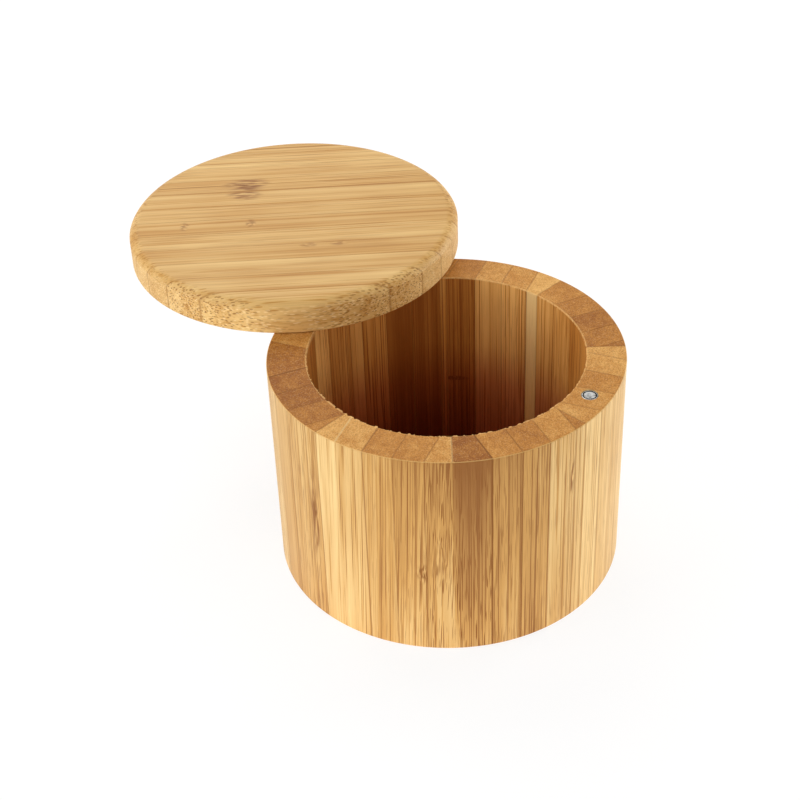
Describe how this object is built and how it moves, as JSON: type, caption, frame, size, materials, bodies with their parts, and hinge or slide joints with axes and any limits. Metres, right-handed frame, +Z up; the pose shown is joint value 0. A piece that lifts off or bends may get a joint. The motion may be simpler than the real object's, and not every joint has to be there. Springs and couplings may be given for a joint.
{
  "type": "swivel-lid salt box",
  "caption": "Round bamboo box with a turned stave wall and a flat disc lid that swivels sideways on an upright pin and is caught by a magnet in the rim.",
  "frame": {"origin": "middle of the flat underside", "axes": "+Z up along the axis of the box; the pivot pin stands on the -X side and the rim magnet close to the +X side"},
  "size_m": [0.1486, 0.1245, 0.0682],
  "materials": {
    "wall_bamboo": "fine sanded and lightly oiled bamboo, upright grain",
    "lid_bamboo": "fine sanded and lightly oiled bamboo, grain along the strips",
    "base_bamboo": "fine sanded bamboo, grain along the strips",
    "pin_steel": "ground steel",
    "magnet_nickel": "nickel plate, dulled"
  },
  "bodies": {
    "box": {"panel_1_strip_1": "wall_bamboo", "panel_1_strip_2": "wall_bamboo", "panel_1_strip_3": "wall_bamboo", "panel_1_strip_4": "wall_bamboo", "panel_1_strip_5": "wall_bamboo", "panel_2_strip_1": "wall_bamboo", "panel_2_strip_2": "wall_bamboo", "panel_2_strip_3": "wall_bamboo", "panel_2_strip_4": "wall_bamboo", "panel_2_strip_5": "wall_bamboo", "panel_3_strip_1": "wall_bamboo", "panel_3_strip_2": "wall_bamboo", "panel_3_strip_3": "wall_bamboo", "panel_3_strip_4": "wall_bamboo", "panel_3_strip_5": "wall_bamboo", "panel_4_strip_1": "wall_bamboo", "panel_4_strip_2": "wall_bamboo", "panel_4_strip_3": "wall_bamboo", "panel_4_strip_4": "wall_bamboo", "panel_4_strip_5": "wall_bamboo", "panel_5_strip_1": "wall_bamboo", "panel_5_strip_2": "wall_bamboo", "panel_5_strip_3": "wall_bamboo", "panel_5_strip_4": "wall_bamboo", "panel_5_strip_5": "wall_bamboo", "panel_6_strip_1": "wall_bamboo", "panel_6_strip_2": "wall_bamboo", "panel_6_strip_3": "wall_bamboo", "panel_6_strip_4": "wall_bamboo", "panel_6_strip_5": "wall_bamboo", "panel_7_strip_1": "wall_bamboo", "panel_7_strip_2": "wall_bamboo", "panel_7_strip_3": "wall_bamboo", "panel_7_strip_4": "wall_bamboo", "panel_7_strip_5": "wall_bamboo", "panel_8_strip_1": "wall_bamboo", "panel_8_strip_2": "wall_bamboo", "panel_8_strip_3": "wall_bamboo", "panel_8_strip_4": "wall_bamboo", "panel_8_strip_5": "wall_bamboo", "base_strip_1": "base_bamboo", "base_strip_2": "base_bamboo", "base_strip_3": "base_bamboo", "base_strip_4": "base_bamboo", "pivot_pin": "pin_steel", "rim_magnet": "magnet_nickel"},
    "lid": {"lid_strip_01": "lid_bamboo", "lid_strip_02": "lid_bamboo", "lid_strip_03": "lid_bamboo", "lid_strip_04": "lid_bamboo", "lid_strip_05": "lid_bamboo", "lid_strip_06": "lid_bamboo", "lid_strip_07": "lid_bamboo", "lid_strip_08": "lid_bamboo", "lid_strip_09": "lid_bamboo", "lid_strip_10": "lid_bamboo", "lid_strip_11": "lid_bamboo", "lid_strip_12": "lid_bamboo", "lid_magnet": "magnet_nickel"}
  },
  "joints": [
    {"name": "lid_swivel", "type": "hinge", "parent": "box", "child": "lid", "pos_m": [-0.0395, 0, 0.059], "axis": [0, 0, 1], "range_deg": [-119, 241]}
  ]
}
